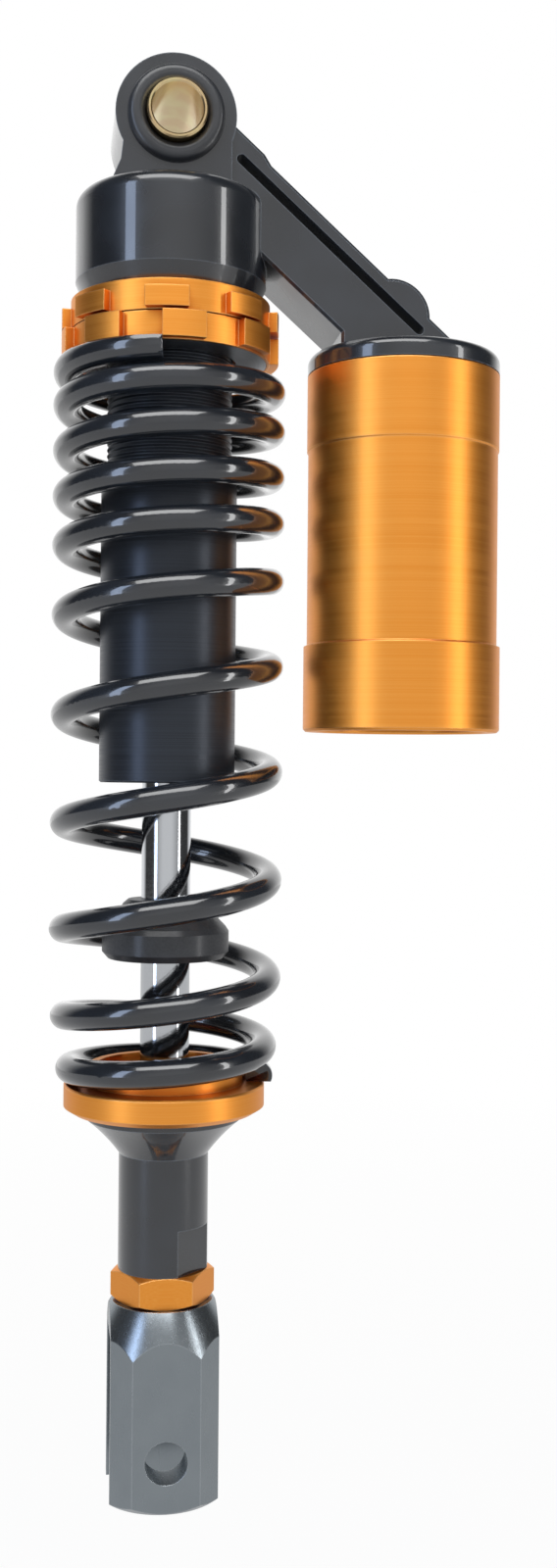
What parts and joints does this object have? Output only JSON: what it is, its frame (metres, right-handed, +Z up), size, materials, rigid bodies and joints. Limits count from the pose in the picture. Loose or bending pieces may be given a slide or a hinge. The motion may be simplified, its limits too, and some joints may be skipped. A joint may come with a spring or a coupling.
{
  "type": "coilover shock absorber",
  "caption": "Gas-charged coil-over shock absorber with a side reservoir on an arm, castellated preload rings, progressive spring, rubber-bushed upper eye and fork-shaped lower clevis.",
  "frame": {"origin": "centre of the upper eye's sleeve, on the axis of the damper", "axes": "+Z up along the damper, +Y along the upper eye's bore, +X towards the reservoir"},
  "size_m": [0.1114, 0.0568, 0.3467],
  "materials": {
    "black_casting": "gloss black enamel on a die casting",
    "bush_rubber": "moulded, satin",
    "gold_zinc": "yellow zinc plate",
    "zinc_steel": "clear zinc plate",
    "black_anodised": "satin black anodised",
    "plain_aluminium": "as turned",
    "bronze": "sintered bronze",
    "seal_rubber": "nitrile, smooth",
    "stop_rubber": "moulded, matte",
    "orange_anodised": "bright orange-gold anodised",
    "valve_brass": "turned",
    "spring_enamel": "gloss black enamel on spring steel",
    "hard_chrome": "ground and polished",
    "ptfe": "bronze-filled PTFE",
    "clevis_black": "satin black"
  },
  "bodies": {
    "shock_body": {"head_casting": "black_casting", "eye_bush": "bush_rubber", "passage_plug": "zinc_steel", "damper_tube": "black_anodised", "base_valve": "zinc_steel", "rod_guide": "plain_aluminium", "guide_bush": "bronze", "rod_oil_seal": "seal_rubber", "dust_wiper": "seal_rubber", "guide_o_ring": "seal_rubber", "guide_clip": "zinc_steel", "top_out_bumper": "seal_rubber", "reservoir_tube": "orange_anodised", "reservoir_cap_o_ring": "seal_rubber", "reservoir_end_cap": "black_anodised", "end_cap_o_ring": "seal_rubber", "end_cap_clip": "zinc_steel", "gas_valve_body": "valve_brass", "gas_valve_core": "valve_brass", "gas_valve_cap": "black_anodised"},
    "eye_sleeve": {"eye_sleeve": "gold_zinc"},
    "spring_top": {"thrust_washer": "zinc_steel", "main_spring": "spring_enamel"},
    "preload_ring": {"preload_ring": "orange_anodised"},
    "lock_ring": {"lock_ring": "orange_anodised"},
    "lower_seat": {"lower_spring_seat": "orange_anodised"},
    "rod": {"damper_rod": "hard_chrome", "piston": "plain_aluminium", "piston_band": "ptfe", "compression_shims": "zinc_steel", "rebound_shims": "zinc_steel", "piston_nut": "zinc_steel", "rod_collar": "zinc_steel", "lower_boss": "black_casting"},
    "bump_stop": {"bump_stop": "stop_rubber"},
    "floating_piston": {"floating_piston": "plain_aluminium", "floating_piston_o_ring": "seal_rubber"},
    "lock_nut": {"clevis_lock_nut": "orange_anodised"},
    "clevis": {"clevis": "clevis_black"}
  },
  "joints": [
    {"name": "rod_slide", "type": "slide", "parent": "shock_body", "child": "lower_seat", "axis": [0, 0, 1], "range_m": [0, 0.05], "stiffness_N_per_m": 22000, "springref_m": -0.008, "deforming": ["main_spring"]},
    {"name": "rod_turn", "type": "hinge", "parent": "lower_seat", "child": "rod", "pos_m": [0, 0, -0.24], "axis": [0, 0, 1], "continuous": true},
    {"name": "bump_stop_slide", "type": "slide", "parent": "rod", "child": "bump_stop", "axis": [0, 0, 1], "range_m": [-0.0231, 0.0001]},
    {"name": "gas_piston_slide", "type": "slide", "parent": "shock_body", "child": "floating_piston", "axis": [0, 0, 1], "range_m": [-0.0042, 0.0001]},
    {"name": "preload_travel", "type": "slide", "parent": "shock_body", "child": "spring_top", "axis": [0, 0, 1], "range_m": [-0.006, 0], "deforming": ["main_spring"]},
    {"name": "preload_turn", "type": "hinge", "parent": "spring_top", "child": "preload_ring", "pos_m": [0, 0, -0.0536], "axis": [0, 0, 1], "range_deg": [-1440.1, 0.1]},
    {"name": "lock_ring_turn", "type": "hinge", "parent": "spring_top", "child": "lock_ring", "pos_m": [0, 0, -0.0464], "axis": [0, 0, 1], "range_deg": [-1440.1, 0.1]},
    {"name": "lock_nut_turn", "type": "hinge", "parent": "rod", "child": "lock_nut", "pos_m": [0, 0, -0.2818], "axis": [0, 0, 1], "range_deg": [-180, 180]},
    {"name": "clevis_turn", "type": "hinge", "parent": "rod", "child": "clevis", "pos_m": [0, 0, -0.3], "axis": [0, 0, 1], "range_deg": [-180, 180]},
    {"name": "sleeve_turn", "type": "hinge", "parent": "shock_body", "child": "eye_sleeve", "pos_m": [0, 0, 0], "axis": [0, 1, 0], "range_deg": [-15, 15], "stiffness_Nm_per_rad": 2}
  ],
  "couplings": [
    {"joint": "bump_stop_slide", "follows": "rod_slide", "ratio": -0.46},
    {"joint": "gas_piston_slide", "follows": "rod_slide", "ratio": -0.0816},
    {"joint": "preload_turn", "follows": "preload_travel", "rad_per_m": 4188.8},
    {"joint": "lock_ring_turn", "follows": "preload_travel", "rad_per_m": 4188.8}
  ]
}
